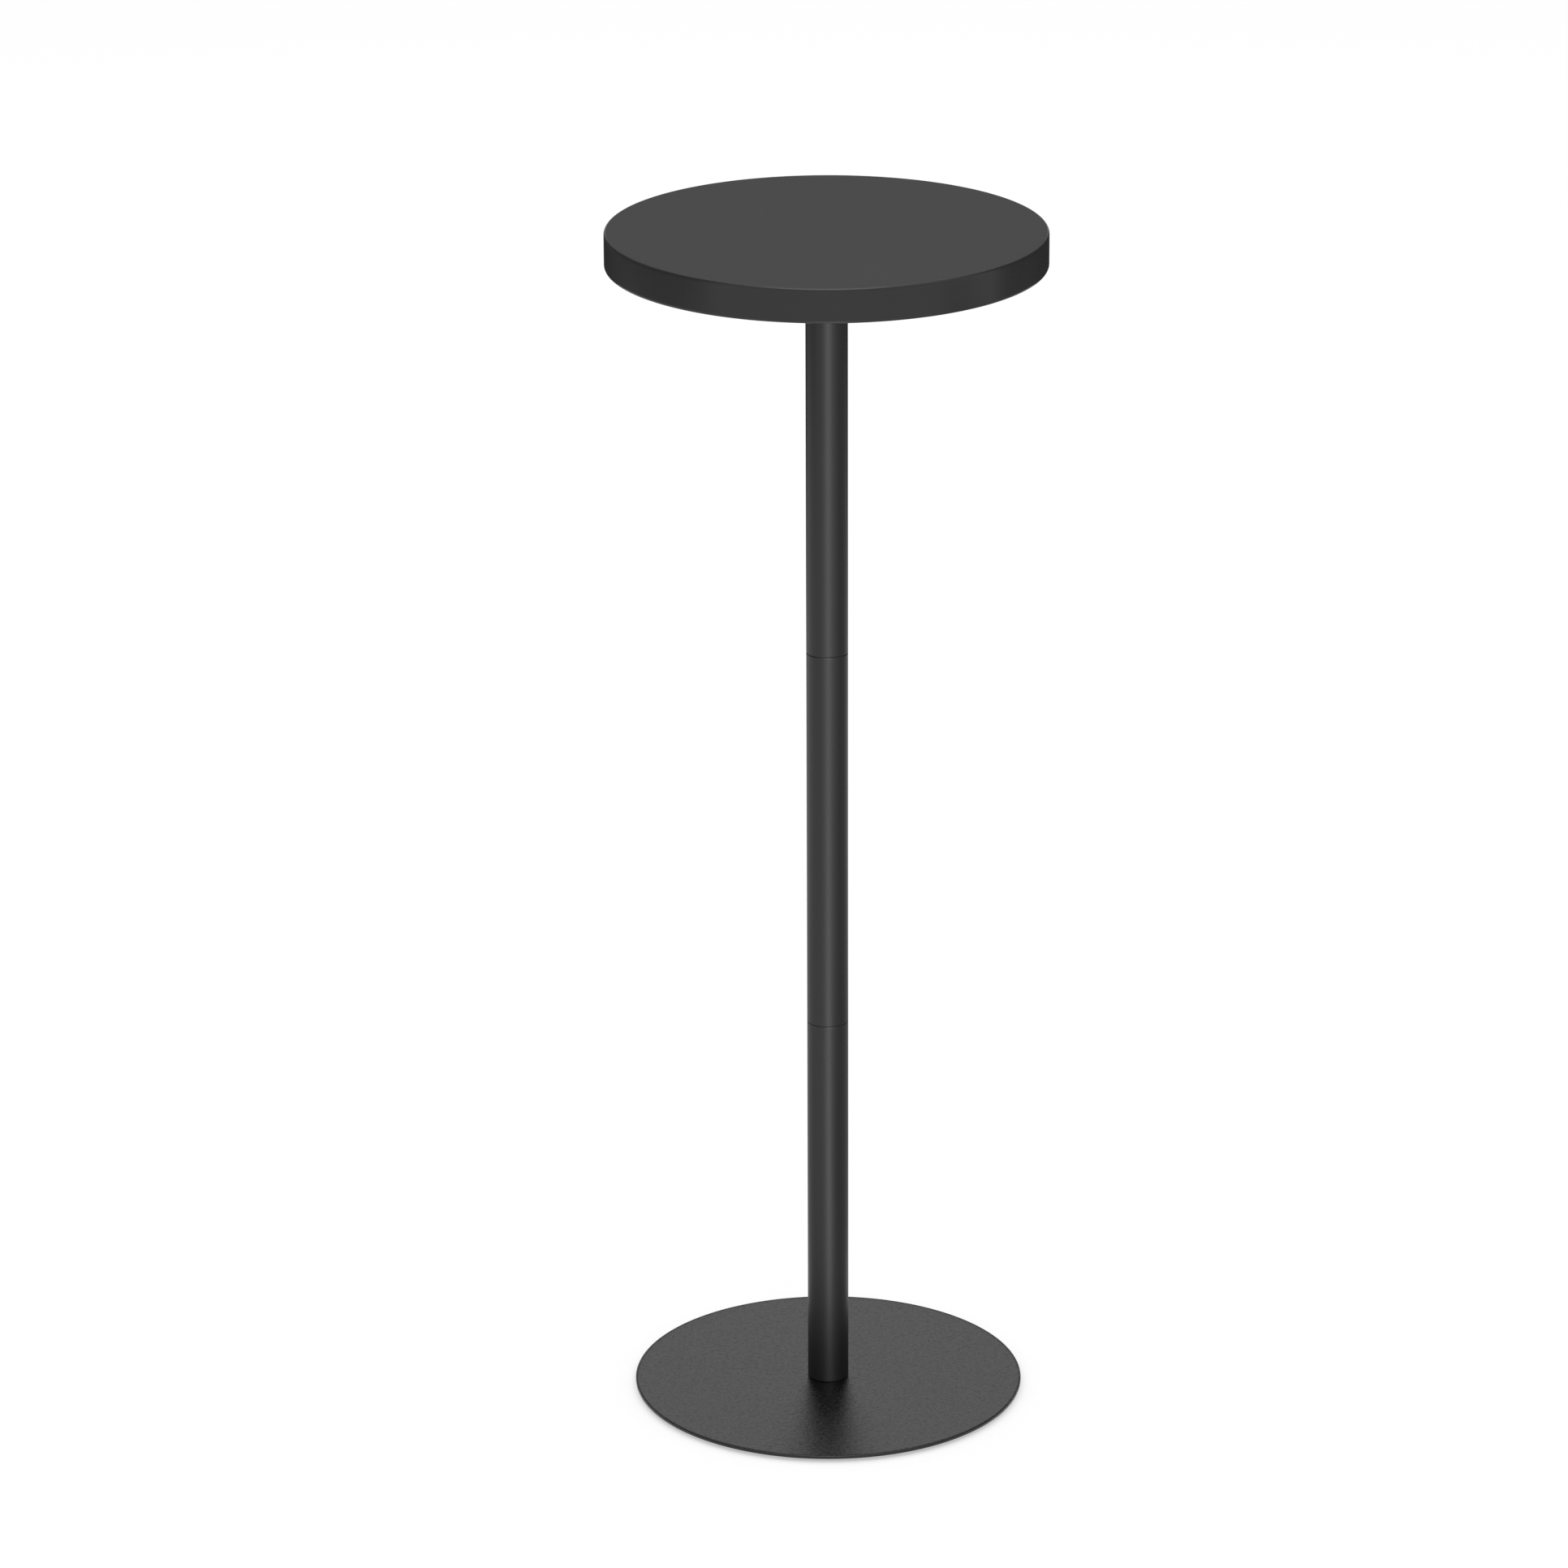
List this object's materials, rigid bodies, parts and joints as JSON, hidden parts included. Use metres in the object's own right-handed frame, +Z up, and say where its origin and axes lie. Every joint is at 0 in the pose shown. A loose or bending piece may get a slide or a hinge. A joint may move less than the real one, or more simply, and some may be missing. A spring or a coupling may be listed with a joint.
{
  "type": "wine table",
  "caption": "Slim round drinks table: a thick black board on a screw-together tubular steel pole with a thin round steel foot plate, to hold a glass beside a chair.",
  "frame": {"origin": "centre of the circle of floor pads, on the floor, below the pole", "axes": "+Z up along the pole; +X through one floor pad and one flange screw"},
  "size_m": [0.25, 0.25, 0.706],
  "materials": {
    "board_lacquer": "satin black lacquer on fibreboard",
    "pole_powder_coat": "smooth satin black powder coat",
    "base_powder_coat": "fine-textured black powder coat",
    "zinc_plated_steel": "bright zinc plating",
    "pad_foam": "matt black closed-cell foam"
  },
  "bodies": {
    "root": {"tabletop": "board_lacquer", "top_flange": "pole_powder_coat", "flange_stud": "zinc_plated_steel", "flange_screws": "zinc_plated_steel", "upper_tube": "pole_powder_coat", "upper_tube_top_plug": "zinc_plated_steel", "upper_tube_bottom_plug": "zinc_plated_steel", "upper_joint_stud": "zinc_plated_steel", "middle_tube": "pole_powder_coat", "middle_tube_top_plug": "zinc_plated_steel", "middle_tube_bottom_plug": "zinc_plated_steel", "lower_joint_stud": "zinc_plated_steel", "lower_tube": "pole_powder_coat", "lower_tube_top_plug": "zinc_plated_steel", "lower_tube_bottom_plug": "zinc_plated_steel", "base_plate": "base_powder_coat", "base_bolt": "zinc_plated_steel", "floor_pads": "pad_foam"}
  },
  "joints": []
}
